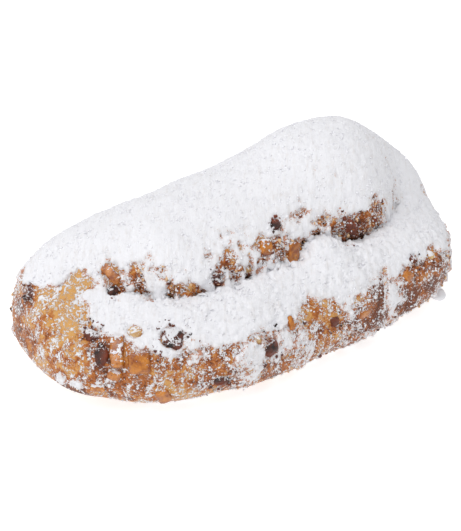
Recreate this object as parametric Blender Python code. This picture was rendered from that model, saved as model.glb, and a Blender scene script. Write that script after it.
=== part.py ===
"""Stollen: a festive loaf of rich dough, a flap folded over a broad foot, with fruit and nuts in its crust.

Run it with blender --background --python part.py, or from Blender's text editor.
The loaf lies on its flat base at z = 0. X runs along it, the fold opens to -Y, and +Z is up.
"""

import math

import bmesh
import bpy
import numpy as np
from mathutils import Matrix, Vector

MM = 0.001  # the sizes below are in millimetres, and Blender's scene is in metres

# The loaf's driving dimensions
LENGTH = 237.0
FOOT_FAR_X = 115.0
FOOT_FRONT_X = (-109.0, -81.0, -41.0, -1.0, 39.0, 79.0, 107.0)
FOOT_FRONT_Y = (-52.5, -59.0, -58.0, -56.0, -56.0, -59.0, -60.0)
FOOT_REAR_Y = 60.5
FOOT_TIP_Y = 5.0  # where its front and rear meet at its two ends
BEND = 6.0  # how far the middle bows forward of the two ends

# The foot: the lower layer of dough, whose front shows as the lip under the fold
FOOT_MIDDLE_Z = 22.0
FOOT_HALF_HEIGHT = 25.0
FOOT_POWERS = (2.8, 2.9, 3.15)  # how square it is in plan, seen from the side, and across
LIP_SWELL = 8.0  # how far the lip bulges up beside its middle
LIP_SWELL_X = 21.5
LIP_SWELL_REACH = 11.0
LIP_Y = -26.0  # the middle of the lip, and how wide its swell is
LIP_WIDTH = 20.0

# The flap: the upper layer, folded forward over the foot
FLAP_NEAR_X = -112.0
FLAP_FAR_X = 118.5
FLAP_MIDDLE_Z = 37.0
FLAP_HALF_HEIGHT = 37.5
FLAP_POWERS = (2.45, 2.1, 2.0)
FLAP_REAR_Y = 56.5
FLAP_TIP_Y = 9.5  # where its front and rear edges meet at its two tips
FLAP_EDGE_X = (-96.0, -76.0, -56.0, -36.0, -16.0, 2.0, 19.0, 36.0, 54.0, 74.0, 94.0)
FLAP_EDGE_Y = (-2.0, -17.0, -32.0, -31.5, -29.0, -28.0, -27.0, -28.0, -29.0, -21.5, -8.5)
HUMP_HEIGHT = 21.5  # how much higher the flap swells towards its far end
HUMP_X = 64.0
HUMP_REACH = 43.5

# The crease between them
CREASE_BLEND = 5.0  # how softly the flap runs into the foot where the fold is open
SEALED_BLEND = 26.0  # and where the two are pressed together at the ends
CREASE_DEPTH = 2.0
CREASE_WIDTH = 6.0
CREASE_FROM_X = -77.0
CREASE_TO_X = 83.0
CREASE_REAR_Y = 12.5  # it is carved only in front of this
CREASE_FADE = 10.0  # how softly it ends

# The low swellings that proving leaves in the dough: (size, height, shift of the pattern)
LUMPS = ((19.0, 0.5, 0.4), (10.0, 0.35, 1.7), (5.5, 0.25, 2.9))

# The crust's mesh: rings of points, each found by going out from a spine inside the loaf
SPINE_HALF_LENGTH = 70.0
SPINE_Y = 12.5
SPINE_Z = 18.0
RING_POINTS = 60
MIDDLE_RINGS = 28
CAP_RINGS = 8
REACH = 110.0  # farther from the spine than any crust
LOOKS = 111  # places looked at along a ray, to find where it last leaves the dough
HALVINGS = 12
# Share of a ring's points up to each angle, which is 0 at the rear, 90 on top and 180 at the lip
RING_SHARES = (0.0, 0.30, 0.60, 1.0)
RING_ANGLES = (0.0, 110.0, 190.0, 360.0)

GAP = 0.3  # clearance between a piece of fruit and the dough round it
NEARLY_ONE = 0.9999  # a lobe ends here, just short of its tips
THINNEST = 0.5  # a lobe's least half width and half height, at its tips
NUDGE = 0.8  # how far apart the field is read to find its slope
RAISIN_FOLDS = 3  # lengthwise folds round a raisin, their depth, and how much they twist along it
RAISIN_FOLD_DEPTH = 0.07
RAISIN_TWIST = 4.0
PEEL_BEVEL = 0.16  # a peel dice's rounded edge, as a share of its thickness
ALMOND_TAPER = 0.5  # how much an almond narrows along its length
SMOOTH_LOAF = 50  # faces that meet at less than this many degrees look smooth
SMOOTH_FRUIT = 60
SMOOTH_PEEL = 30

# Fruit and nuts that show in the crust, from the near end to the far end and then round the back:
# (place near the crust, (length, width, height), how far it stands proud, turn of its length from uphill)
RAISINS = (
    ((-112, 18, 45), (6.0, 5.0, 4.0), 1.0, 70),
    ((-100, -20, 38), (8.0, 7.0, 6.0), 2.0, 60),
    ((-101, -30, 33), (12.0, 6.5, 6.0), 2.2, 10),
    ((-82, -8, 49), (7.0, 5.5, 4.5), 1.5, 80),
    ((-72, -43, 39), (12.0, 10.0, 8.0), 3.0, 40),
    ((-54, -54, 16), (8.0, 6.0, 5.0), 1.5, 80),
    ((-38, -27, 50), (8.0, 7.0, 5.0), 2.0, 15),
    ((-30, -58, 26), (10.0, 7.0, 6.0), 1.8, -20),
    ((0, -19, 63), (6.0, 5.0, 4.5), 1.8, 0),
    ((8, -58, 26), (6.0, 4.5, 4.0), 1.2, -30),
    ((41, -26, 52), (12.0, 8.0, 7.0), 2.5, 5),
    ((64, -46, 37), (6.0, 5.0, 4.0), 1.2, 50),
    ((104, 36, 24), (10.0, 8.0, 6.0), 1.8, 30),
    ((62, 60, 34), (11.0, 8.0, 6.0), 2.0, 75),
    ((2, 63, 22), (9.0, 7.0, 6.0), 1.8, 20),
    ((-64, 59, 30), (10.0, 8.0, 6.0), 2.2, -35),
)
PEELS = (
    ((-104, -31, 17), (6.5, 3.0, 3.0), 1.2, 95),
    ((-98, -36, 25), (6.0, 4.5, 4.0), 1.5, 80),
    ((-95, -34, 35), (14.0, 6.0, 5.0), 1.8, 15),
    ((-89, -43, 32), (10.0, 9.5, 6.0), 1.8, 5),
    ((-80, -3, 55), (11.0, 4.5, 4.0), 1.5, 45),
    ((-80, -48, 13), (7.5, 6.5, 6.0), 1.6, 20),
    ((-17, -55, 34), (6.5, 2.8, 3.0), 1.2, 0),
    ((-9, -25, 57), (7.5, 6.0, 5.0), 2.0, -15),
    ((6, -27, 51), (10.0, 7.0, 5.5), 2.2, -15),
    ((26, -59, 25), (7.0, 4.0, 4.0), 1.2, 85),
    ((57, -52, 33), (6.0, 5.0, 4.0), 1.2, 30),
    ((107, 28, 42), (8.0, 7.0, 5.0), 1.4, 50),
    ((38, 63, 18), (9.0, 7.0, 5.0), 1.6, 15),
    ((-32, 62, 30), (11.0, 6.0, 5.0), 1.8, 65),
    ((-84, 54, 20), (8.0, 7.0, 5.0), 1.6, 35),
)
ALMONDS = (
    ((-84, -30, 40), (9.0, 7.0, 4.0), 1.0, 85),
    ((-36, -56, 33), (5.5, 3.5, 3.5), 1.0, 0),
    ((-21, -27, 50), (5.0, 4.0, 3.5), 1.2, 60),
    ((75, -45, 36), (5.5, 4.5, 3.5), 1.4, 20),
    ((92, 50, 30), (9.0, 6.0, 4.0), 1.4, 40),
    ((20, 62, 38), (8.0, 6.0, 4.0), 1.4, 70),
    ((-46, 62, 40), (7.0, 5.0, 4.0), 1.2, 15),
)


def bump(distance, reach):
    """1 at no distance, falling smoothly to nothing past the reach."""
    return np.exp(-((distance / reach) ** 2))


def step(value, width):
    """0 well below zero and 1 well above it, changing over about the width."""
    return 0.5 + 0.5 * np.tanh(value / width)


def lobe(x, y, z, near, far, front, rear, tip_y, middle_z, half_height, powers):
    """A pillow of dough as a field: negative inside, and about the distance to its skin in millimetres.

    powers are how square it is in plan, seen from the side, and across.
    """
    plan_power, side_power, across_power = powers
    half_length = (far - near) / 2
    along = np.abs(x - (near + far) / 2) / half_length
    beyond = np.maximum(along - NEARLY_ONE, 0) * half_length
    along = np.minimum(along, NEARLY_ONE)
    plan = (1 - along**plan_power) ** (1 / plan_power)
    side = (1 - along**side_power) ** (1 / side_power)
    front_y = tip_y + (front - tip_y) * plan
    rear_y = tip_y + (rear - tip_y) * plan
    half_width = np.maximum((rear_y - front_y) / 2, THINNEST)
    height = np.maximum(half_height * side, THINNEST)
    across = np.abs((y - (front_y + rear_y) / 2) / half_width)
    upward = np.abs((z - middle_z) / height)
    radius = (across**across_power + upward**across_power) ** (1 / across_power)
    return (radius - 1) * np.minimum(half_width, height) + 2 * beyond


def smooth_line(x, knots_x, knots_y):
    """A smooth curve through the knots, level past their ends."""
    knots_x = np.asarray(knots_x)
    knots_y = np.asarray(knots_y)
    slopes = np.gradient(knots_y, knots_x)
    slopes[[0, -1]] = 0
    x = np.clip(x, knots_x[0], knots_x[-1])
    left = np.clip(np.searchsorted(knots_x, x, side="right") - 1, 0, len(knots_x) - 2)
    span = knots_x[left + 1] - knots_x[left]
    t = (x - knots_x[left]) / span
    start = knots_y[left] * (1 + 2 * t) * (1 - t) ** 2 + slopes[left] * span * t * (1 - t) ** 2
    end = knots_y[left + 1] * t * t * (3 - 2 * t) - slopes[left + 1] * span * t * t * (1 - t)
    return start + end


def lumps(x, y, z):
    """Height of the dough's swellings over its plain form."""
    total = 0.0
    for size, height, shift in LUMPS:
        total = total + height * np.sin(x / size + shift) * np.sin(y / size + 2 * shift)
        total = total + height * np.sin(z / size + 3 * shift) * np.cos(x / size - shift)
    return total


def layers(x, y, z):
    """The foot and the flap as fields, and y measured from the loaf's bowed middle line."""
    y_straight = y - BEND * ((2 * x / LENGTH) ** 2 - 0.3)
    swell = LIP_SWELL * bump(x - LIP_SWELL_X, LIP_SWELL_REACH) * bump(y_straight - LIP_Y, LIP_WIDTH)
    front = smooth_line(x, FOOT_FRONT_X, FOOT_FRONT_Y)
    foot = lobe(
        x, y_straight, z, -LENGTH / 2, FOOT_FAR_X, front, FOOT_REAR_Y, FOOT_TIP_Y,
        FOOT_MIDDLE_Z, FOOT_HALF_HEIGHT + swell, FOOT_POWERS,
    )
    edge = smooth_line(x, FLAP_EDGE_X, FLAP_EDGE_Y)
    hump = HUMP_HEIGHT * bump(x - HUMP_X, HUMP_REACH)
    flap = lobe(
        x, y_straight, z, FLAP_NEAR_X, FLAP_FAR_X, edge, FLAP_REAR_Y, FLAP_TIP_Y,
        FLAP_MIDDLE_Z, FLAP_HALF_HEIGHT + hump, FLAP_POWERS,
    )
    return foot, flap, y_straight


def openness(x):
    """1 where the fold stands open, falling to 0 where the ends are pressed shut."""
    return step(x - CREASE_FROM_X, CREASE_FADE) * step(CREASE_TO_X - x, CREASE_FADE)


def dough(x, y, z):
    """The whole loaf as a field: negative inside."""
    foot, flap, y_straight = layers(x, y, z)
    is_open = openness(x)
    blend = CREASE_BLEND * is_open + SEALED_BLEND * (1 - is_open)
    share = np.clip(0.5 + 0.5 * (flap - foot) / blend, 0, 1)
    joined = flap * (1 - share) + foot * share - blend * share * (1 - share)
    in_front = step(CREASE_REAR_Y - y_straight, CREASE_FADE)
    crease = CREASE_DEPTH * is_open * in_front * bump(flap - foot, CREASE_WIDTH)
    return np.maximum(joined + crease - lumps(x, y, z), -z)


def from_spine(starts, directions):
    """The crust's points where rays from the spine leave the dough for the last time."""
    inside = np.zeros(starts.shape[:-1])
    looks = np.linspace(0, REACH, LOOKS)
    for distance in looks[1:]:
        points = starts + directions * distance
        within = dough(points[..., 0], points[..., 1], points[..., 2]) < 0
        inside = np.where(within, distance, inside)
    outside = inside + looks[1]
    for _ in range(HALVINGS):
        middle = (inside + outside) / 2
        points = starts + directions * middle[..., None]
        within = dough(points[..., 0], points[..., 1], points[..., 2]) < 0
        inside = np.where(within, middle, inside)
        outside = np.where(within, outside, middle)
    return starts + directions * inside[..., None]


def crust_rings():
    """Rings of crust points from the near tip to the far tip, as an array of rings by points by three."""
    tips = np.linspace(math.pi / 2, 0, CAP_RINGS, endpoint=False)[1:]
    middle_x = np.linspace(-SPINE_HALF_LENGTH, SPINE_HALF_LENGTH, MIDDLE_RINGS)
    start_x = np.concatenate([-SPINE_HALF_LENGTH + 0 * tips, middle_x, SPINE_HALF_LENGTH + 0 * tips])
    lean = np.concatenate([-tips, 0 * middle_x, tips[::-1]])
    share = np.linspace(0, 1, RING_POINTS, endpoint=False)
    around = np.radians(np.interp(share, RING_SHARES, RING_ANGLES))
    lean_grid, around_grid = np.meshgrid(lean, around, indexing="ij")
    starts = np.zeros(lean_grid.shape + (3,))
    starts[..., 0] = start_x[:, None]
    starts[..., 1] = SPINE_Y
    starts[..., 2] = SPINE_Z
    directions = np.stack(
        [
            np.sin(lean_grid),
            np.cos(lean_grid) * np.cos(around_grid),
            np.cos(lean_grid) * np.sin(around_grid),
        ],
        axis=-1,
    )
    return from_spine(starts, directions)


def tip(side):
    """The crust's point straight along the spine: side is -1 at the near end and 1 at the far end."""
    start = np.array([side * SPINE_HALF_LENGTH, SPINE_Y, SPINE_Z])
    return from_spine(start, np.array([side, 0.0, 0.0]))


def finish_mesh(shape, name, smooth_below):
    """A mesh in metres from a bmesh in millimetres, smooth where faces meet at less than the angle."""
    bmesh.ops.recalc_face_normals(shape, faces=shape.faces)
    bmesh.ops.scale(shape, vec=(MM, MM, MM), verts=shape.verts)
    mesh = bpy.data.meshes.new(name)
    shape.to_mesh(mesh)
    shape.free()
    mesh.shade_smooth()
    mesh.set_sharp_from_angle(angle=math.radians(smooth_below))
    return mesh


def loaf_mesh():
    """The folded loaf: the rings bridged one to the next, and closed to a point at each tip."""
    shape = bmesh.new()
    rings = [[shape.verts.new(point) for point in ring] for ring in crust_rings()]
    for ring, following in zip(rings[:-1], rings[1:]):
        for here in range(RING_POINTS):
            after = (here + 1) % RING_POINTS
            shape.faces.new((ring[here], ring[after], following[after], following[here]))
    for side, ring in ((-1, rings[0]), (1, rings[-1])):
        point = shape.verts.new(tip(side))
        for here in range(RING_POINTS):
            shape.faces.new((ring[here], ring[(here + 1) % RING_POINTS], point))
    bmesh.ops.triangulate(shape, faces=shape.faces)
    return finish_mesh(shape, "loaf", SMOOTH_LOAF)


def raisin_mesh(size):
    """A shrivelled oval berry with lengthwise folds."""
    shape = bmesh.new()
    bmesh.ops.create_icosphere(shape, subdivisions=2, radius=0.5)
    for vert in shape.verts:
        around = math.atan2(vert.co.z, vert.co.y)
        fold = 1 + RAISIN_FOLD_DEPTH * math.sin(RAISIN_FOLDS * around + RAISIN_TWIST * vert.co.x)
        vert.co = Vector((vert.co.x * size[0], vert.co.y * size[1] * fold, vert.co.z * size[2] * fold))
    return finish_mesh(shape, "raisin", SMOOTH_FRUIT)


def peel_mesh(size):
    """A candied citrus dice with rounded edges."""
    shape = bmesh.new()
    bmesh.ops.create_cube(shape, size=1.0)
    bmesh.ops.scale(shape, vec=size, verts=shape.verts)
    offset = PEEL_BEVEL * min(size)
    bmesh.ops.bevel(shape, geom=list(shape.edges), offset=offset, segments=1, affect="EDGES")
    bmesh.ops.triangulate(shape, faces=shape.faces)
    return finish_mesh(shape, "peel", SMOOTH_PEEL)


def almond_mesh(size):
    """A chopped almond: an oval that narrows to one end."""
    shape = bmesh.new()
    bmesh.ops.create_icosphere(shape, subdivisions=2, radius=0.5)
    for vert in shape.verts:
        narrow = 1 - ALMOND_TAPER * vert.co.x
        vert.co = Vector((vert.co.x * size[0], vert.co.y * size[1] * narrow, vert.co.z * size[2] * narrow))
    return finish_mesh(shape, "almond", SMOOTH_FRUIT)


def outward(point):
    """The crust's outward direction at a point, from how the field grows there."""
    slope = []
    for axis in np.eye(3) * NUDGE:
        slope.append(dough(*(point + axis)) - dough(*(point - axis)))
    return Vector(slope).normalized()


def settle(place, size, proud, turn):
    """Where a piece of fruit lies, with its top that much proud of the crust."""
    start = np.array([np.clip(place[0], -SPINE_HALF_LENGTH, SPINE_HALF_LENGTH), SPINE_Y, SPINE_Z])
    direction = np.array(place) - start
    point = from_spine(start, direction / np.linalg.norm(direction))
    normal = outward(point)
    centre = Vector(point) - normal * (size[2] / 2 - proud)
    upright = normal.to_track_quat("Z", "X").to_matrix().to_4x4()
    return Matrix.Translation(centre * MM) @ upright @ Matrix.Rotation(math.radians(turn), 4, "Z")


def material(name, colour, roughness):
    """A plain Principled material in the piece's own colour."""
    made = bpy.data.materials.new(name)
    made.use_nodes = True
    shader = made.node_tree.nodes["Principled BSDF"]
    shader.inputs["Base Color"].default_value = (*colour, 1.0)
    shader.inputs["Roughness"].default_value = roughness
    shader.inputs["Metallic"].default_value = 0.0
    return made


def add_object(name, mesh, parent, collection):
    """An object under the stollen's empty."""
    made = bpy.data.objects.new(name, mesh)
    made.parent = parent
    collection.objects.link(made)
    return made


def add_cutter(fruit, cutters):
    """A hidden copy of a piece of fruit, grown by the clearance, that cuts its pocket."""
    mesh = fruit.data.copy()
    for vert, normal in zip(mesh.vertices, [v.normal.copy() for v in mesh.vertices]):
        vert.co += normal * GAP * MM
    cutter = add_object("pocket_" + fruit.name, mesh, fruit.parent, cutters)
    cutter.matrix_world = fruit.matrix_world
    cutter.hide_render = True
    cutter.display_type = "WIRE"


def add_fruit(kind, pieces, make_mesh, finish, parent, cutters):
    """Each piece of one kind of fruit, settled in the crust, with its pocket's cutter."""
    for number, (place, size, proud, turn) in enumerate(pieces, start=1):
        mesh = make_mesh(size)
        mesh.materials.append(finish)
        fruit = add_object(f"{kind}_{number:02d}", mesh, parent, bpy.context.scene.collection)
        fruit.matrix_world = settle(place, size, proud, turn)
        add_cutter(fruit, cutters)


def main():
    for old in list(bpy.data.objects):
        bpy.data.objects.remove(old)
    scene_collection = bpy.context.scene.collection
    cutters = bpy.data.collections.new("pockets")
    scene_collection.children.link(cutters)
    cutters.hide_render = True
    stollen = add_object("stollen", None, None, scene_collection)

    crust = material("crust", (0.52, 0.27, 0.11), 0.75)
    raisin_skin = material("raisin", (0.035, 0.014, 0.010), 0.4)
    candied = material("candied_peel", (0.65, 0.22, 0.03), 0.3)
    nut = material("almond", (0.72, 0.52, 0.27), 0.6)

    loaf = add_object("loaf", loaf_mesh(), stollen, scene_collection)
    loaf.data.materials.append(crust)
    add_fruit("raisin", RAISINS, raisin_mesh, raisin_skin, stollen, cutters)
    add_fruit("peel", PEELS, peel_mesh, candied, stollen, cutters)
    add_fruit("almond", ALMONDS, almond_mesh, nut, stollen, cutters)

    pockets = loaf.modifiers.new("pockets", "BOOLEAN")
    pockets.operation = "DIFFERENCE"
    pockets.solver = "EXACT"
    pockets.operand_type = "COLLECTION"
    pockets.collection = cutters


main()
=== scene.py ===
# %% [markdown]
# # Stollen
#
# A stollen is a loaf of rich dough, rolled out, folded over itself and baked, then buttered and buried in
# icing sugar while it is warm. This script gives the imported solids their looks: a rough baked crust, a
# thick powdery coat of sugar that has fallen away from the steep places, and fruit and nuts that stick out
# of both.

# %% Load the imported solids
import itertools
import math

import bmesh
import bpy
import numpy as np
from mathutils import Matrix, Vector


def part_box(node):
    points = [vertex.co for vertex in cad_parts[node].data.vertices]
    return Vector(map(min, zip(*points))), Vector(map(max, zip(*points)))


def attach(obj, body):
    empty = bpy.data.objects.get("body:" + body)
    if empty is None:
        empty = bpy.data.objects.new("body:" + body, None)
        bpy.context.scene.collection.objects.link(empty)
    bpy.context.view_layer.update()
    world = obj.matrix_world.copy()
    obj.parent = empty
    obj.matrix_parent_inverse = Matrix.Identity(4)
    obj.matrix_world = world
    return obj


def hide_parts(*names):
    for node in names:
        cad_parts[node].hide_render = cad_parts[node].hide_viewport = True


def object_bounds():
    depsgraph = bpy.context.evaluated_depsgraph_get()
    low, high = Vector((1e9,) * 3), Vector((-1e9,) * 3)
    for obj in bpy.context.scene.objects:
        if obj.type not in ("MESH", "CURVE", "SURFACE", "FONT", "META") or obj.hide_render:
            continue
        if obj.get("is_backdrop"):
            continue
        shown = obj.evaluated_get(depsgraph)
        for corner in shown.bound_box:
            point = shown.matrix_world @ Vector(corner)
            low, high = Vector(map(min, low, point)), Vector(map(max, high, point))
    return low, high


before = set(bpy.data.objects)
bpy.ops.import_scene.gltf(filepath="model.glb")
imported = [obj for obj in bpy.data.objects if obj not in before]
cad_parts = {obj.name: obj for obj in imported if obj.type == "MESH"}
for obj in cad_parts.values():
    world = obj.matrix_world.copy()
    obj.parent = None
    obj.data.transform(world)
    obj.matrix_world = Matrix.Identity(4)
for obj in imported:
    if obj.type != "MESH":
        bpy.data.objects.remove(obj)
cad_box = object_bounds()
MM = 0.001  # the sizes below are in millimetres, and Blender's scene is in metres
loaf_low, loaf_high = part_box("loaf")
print("loaf from", [round(v / MM, 1) for v in loaf_low], "to", [round(v / MM, 1) for v in loaf_high])

# %% [markdown]
# ## Camera
#
# A long lens from about two thirds of a metre, raised by a third of a right angle and turned towards the
# loaf's near end, so that the opening of the fold and one rounded end both show.

# %% Camera
CAMERA_AROUND = -33.5
CAMERA_ABOVE = 30.5
CAMERA_AWAY = 650.3
CAMERA_TARGET = Vector((3.9, 24.9, 18.1))
CAMERA_LENS = 85.0


def direction_of(around, above):
    """The direction in which something stands that is so many degrees round the loaf and above it."""
    around = math.radians(around)
    above = math.radians(above)
    level = math.cos(above)
    return Vector((math.sin(around) * level, -math.cos(around) * level, math.sin(above)))


def add_camera():
    towards = direction_of(CAMERA_AROUND, CAMERA_ABOVE)
    camera = bpy.data.objects.new("camera", bpy.data.cameras.new("camera"))
    camera.data.lens = CAMERA_LENS
    camera.data.clip_start = 0.01
    camera.location = (CAMERA_TARGET + towards * CAMERA_AWAY) * MM
    camera.rotation_euler = towards.to_track_quat("Z", "Y").to_euler()
    bpy.context.scene.collection.objects.link(camera)
    bpy.context.scene.camera = camera
    return camera


camera = add_camera()
print("camera at", [round(v / MM) for v in camera.location])

# %% [markdown]
# ## Node trees written as expressions
#
# Both materials and Geometry Nodes are trees of nodes. Adding each node by hand hides what the tree works
# out, so one small class wraps a socket and turns Python's operators into Math nodes, and one function adds
# any other node.


# %% A socket that Python's operators work on
class Wire:
    """A socket of a node tree. Arithmetic on it adds Math nodes to the tree."""

    def __init__(self, tree, socket):
        self.tree = tree
        self.socket = socket

    def math(self, operation, *others, clamp=False):
        settings = {"operation": operation, "use_clamp": clamp}
        return add_node(self.tree, "ShaderNodeMath", settings, dict(enumerate((self, *others))))

    def __add__(self, other):
        return self.math("ADD", other)

    def __sub__(self, other):
        return self.math("SUBTRACT", other)

    def __mul__(self, other):
        return self.math("MULTIPLY", other)

    def __truediv__(self, other):
        return self.math("DIVIDE", other)

    def __rsub__(self, other):
        return self.math("MULTIPLY", -1.0) + other

    __radd__ = __add__
    __rmul__ = __mul__

    def clamped(self):
        """Kept from 0 to 1."""
        return self.math("ADD", 0.0, clamp=True)

    def size(self):
        """Without its sign."""
        return self.math("ABSOLUTE")

    def least(self, other):
        """The smaller of the two."""
        return self.math("MINIMUM", other)

    def most(self, other):
        """The larger of the two."""
        return self.math("MAXIMUM", other)

    def rise(self, low, high):
        """0 below low and 1 above high, smooth between them."""
        values = {"Value": self, "From Min": low, "From Max": high}
        return add_node(self.tree, "ShaderNodeMapRange", {"interpolation_type": "SMOOTHSTEP"}, values)


def add_node(tree, kind, settings=None, values=None, output=0):
    """A node of the kind: its settings are set first, then its sockets' values or links."""
    node = tree.nodes.new(kind)
    for name, value in (settings or {}).items():
        setattr(node, name, value)
    for name, value in (values or {}).items():
        if isinstance(value, Wire):
            tree.links.new(value.socket, node.inputs[name])
        else:
            node.inputs[name].default_value = value
    return Wire(tree, node.outputs[output])


# %% Noise and measures that both kinds of tree use
def noise(place, size, detail=2.0, roughness=0.5, twist=0.0):
    """Smooth random values from about -1 to 1 that change over the size in millimetres."""
    values = {
        "Vector": place,
        "Scale": 1 / (size * MM),
        "Detail": detail,
        "Roughness": roughness,
        "Distortion": twist,
    }
    return add_node(place.tree, "ShaderNodeTexNoise", {"noise_dimensions": "3D"}, values) * 2.0 - 1.0


def cells(place, size):
    """The distance to the nearest cell's middle, as a share of the size in millimetres."""
    values = {"Vector": place, "Scale": 1 / (size * MM), "Randomness": 1.0}
    return add_node(place.tree, "ShaderNodeTexVoronoi", {"feature": "F1"}, values)


def vector_math(operation, first, second):
    """Vector Math on two vectors, or on a vector and the number that scales it."""
    socket = "Scale" if operation == "SCALE" else 1
    return add_node(first.tree, "ShaderNodeVectorMath", {"operation": operation}, {0: first, socket: second})


SIFTED_ALONG = math.radians(33.5)  # the sieve went to and fro at this angle to the loaf's width
STREAK_SHARES = (1.0, 0.16, 0.16)


def sifted(place):
    """The place turned and drawn out, so that a pattern on it runs downhill in the sieve's direction."""
    values = {"Vector": place, "Angle": SIFTED_ALONG}
    turned = add_node(place.tree, "ShaderNodeVectorRotate", {"rotation_type": "Z_AXIS"}, values)
    return vector_math("MULTIPLY", turned, STREAK_SHARES)


def attribute(tree, name):
    """A value that is stored at the points of the mesh, in a material."""
    return add_node(tree, "ShaderNodeAttribute", {"attribute_name": name}, output="Fac")


def stored(tree, name):
    """A value that is stored at the points of the mesh, in Geometry Nodes."""
    return add_node(tree, "GeometryNodeInputNamedAttribute", {"data_type": "FLOAT"}, {"Name": name})


def mix(factor, first, second):
    """A colour between two colours. The Mix node's sockets 6 and 7 take colours, and output 2 gives one."""
    values = {0: factor, 6: first, 7: second}
    return add_node(factor.tree, "ShaderNodeMix", {"data_type": "RGBA"}, values, output=2)


def srgb(red, green, blue):
    """A colour as it looks on a screen, from 0 to 255, as the linear colour that nodes use."""
    shares = [value / 255 for value in (red, green, blue)]
    linear = [s / 12.92 if s <= 0.04045 else ((s + 0.055) / 1.055) ** 2.4 for s in shares]
    return (*linear, 1.0)


print("a golden crust is", [round(v, 3) for v in srgb(212, 160, 94)])

# %% [markdown]
# ## The dough's form
#
# The form is a field: a function that is negative inside the dough and about the distance to its skin
# outside. Two pillows, the foot and the flap, are joined softly, and the fold between them is carved where
# it stands open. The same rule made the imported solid, so the fine crust that is made from it here lies on
# that solid.

# %% The loaf's driving dimensions
LENGTH = 237.0
FOOT_FAR_X = 115.0
FOOT_FRONT_X = (-109.0, -81.0, -41.0, -1.0, 39.0, 79.0, 107.0)
FOOT_FRONT_Y = (-52.5, -59.0, -58.0, -56.0, -56.0, -59.0, -60.0)
FOOT_REAR_Y = 60.5
FOOT_TIP_Y = 5.0
BEND = 6.0
BEND_CENTRING = 0.3
FOOT_MIDDLE_Z = 22.0
FOOT_HALF_HEIGHT = 25.0
FOOT_POWERS = (2.8, 2.9, 3.15)
LIP_SWELL = 8.0
LIP_SWELL_X = 21.5
LIP_SWELL_REACH = 11.0
LIP_Y = -26.0
LIP_WIDTH = 20.0
FLAP_NEAR_X = -112.0
FLAP_FAR_X = 118.5
FLAP_MIDDLE_Z = 37.0
FLAP_HALF_HEIGHT = 37.5
FLAP_POWERS = (2.45, 2.1, 2.0)
FLAP_REAR_Y = 56.5
FLAP_TIP_Y = 9.5
FLAP_EDGE_X = (-96.0, -76.0, -56.0, -36.0, -16.0, 2.0, 19.0, 36.0, 54.0, 74.0, 94.0)
FLAP_EDGE_Y = (-2.0, -17.0, -32.0, -31.5, -29.0, -28.0, -27.0, -28.0, -29.0, -21.5, -8.5)
HUMP_HEIGHT = 21.5
HUMP_X = 64.0
HUMP_REACH = 43.5
CREASE_BLEND = 2.0
SEALED_BLEND = 26.0
CREASE_DEPTH = 3.5
CREASE_WIDTH = 3.5
CREASE_FROM_X = -77.0
CREASE_TO_X = 83.0
CREASE_REAR_Y = 12.5
CREASE_FADE = 10.0
LUMPS = ((19.0, 0.5, 0.4), (10.0, 0.35, 1.7), (5.5, 0.25, 2.9))
NEARLY_ONE = 0.9999
THINNEST = 0.5


# %% The field
def bump(distance, reach):
    """1 at no distance, falling smoothly to nothing past the reach."""
    return np.exp(-((distance / reach) ** 2))


def step(value, width):
    """0 well below zero and 1 well above it, changing over about the width."""
    return 0.5 + 0.5 * np.tanh(value / width)


def lobe(x, y, z, near, far, front, rear, tip_y, middle_z, half_height, powers):
    """A pillow of dough: powers are how square it is in plan, seen from the side, and across."""
    plan_power, side_power, across_power = powers
    half_length = (far - near) / 2
    along = np.abs(x - (near + far) / 2) / half_length
    beyond = np.maximum(along - NEARLY_ONE, 0) * half_length
    along = np.minimum(along, NEARLY_ONE)
    plan = (1 - along**plan_power) ** (1 / plan_power)
    side = (1 - along**side_power) ** (1 / side_power)
    front_y = tip_y + (front - tip_y) * plan
    rear_y = tip_y + (rear - tip_y) * plan
    half_width = np.maximum((rear_y - front_y) / 2, THINNEST)
    height = np.maximum(half_height * side, THINNEST)
    across = np.abs((y - (front_y + rear_y) / 2) / half_width)
    upward = np.abs((z - middle_z) / height)
    radius = (across**across_power + upward**across_power) ** (1 / across_power)
    return (radius - 1) * np.minimum(half_width, height) + 2 * beyond


def smooth_line(x, knots_x, knots_y):
    """A smooth curve through the knots, level past their ends."""
    knots_x = np.asarray(knots_x)
    knots_y = np.asarray(knots_y)
    slopes = np.gradient(knots_y, knots_x)
    slopes[[0, -1]] = 0
    x = np.clip(x, knots_x[0], knots_x[-1])
    left = np.clip(np.searchsorted(knots_x, x, side="right") - 1, 0, len(knots_x) - 2)
    span = knots_x[left + 1] - knots_x[left]
    t = (x - knots_x[left]) / span
    start = knots_y[left] * (1 + 2 * t) * (1 - t) ** 2 + slopes[left] * span * t * (1 - t) ** 2
    end = knots_y[left + 1] * t * t * (3 - 2 * t) - slopes[left + 1] * span * t * t * (1 - t)
    return start + end


def lumps(x, y, z):
    """Height of the swellings that proving leaves in the dough."""
    total = 0.0
    for size, height, shift in LUMPS:
        total = total + height * np.sin(x / size + shift) * np.sin(y / size + 2 * shift)
        total = total + height * np.sin(z / size + 3 * shift) * np.cos(x / size - shift)
    return total


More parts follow.
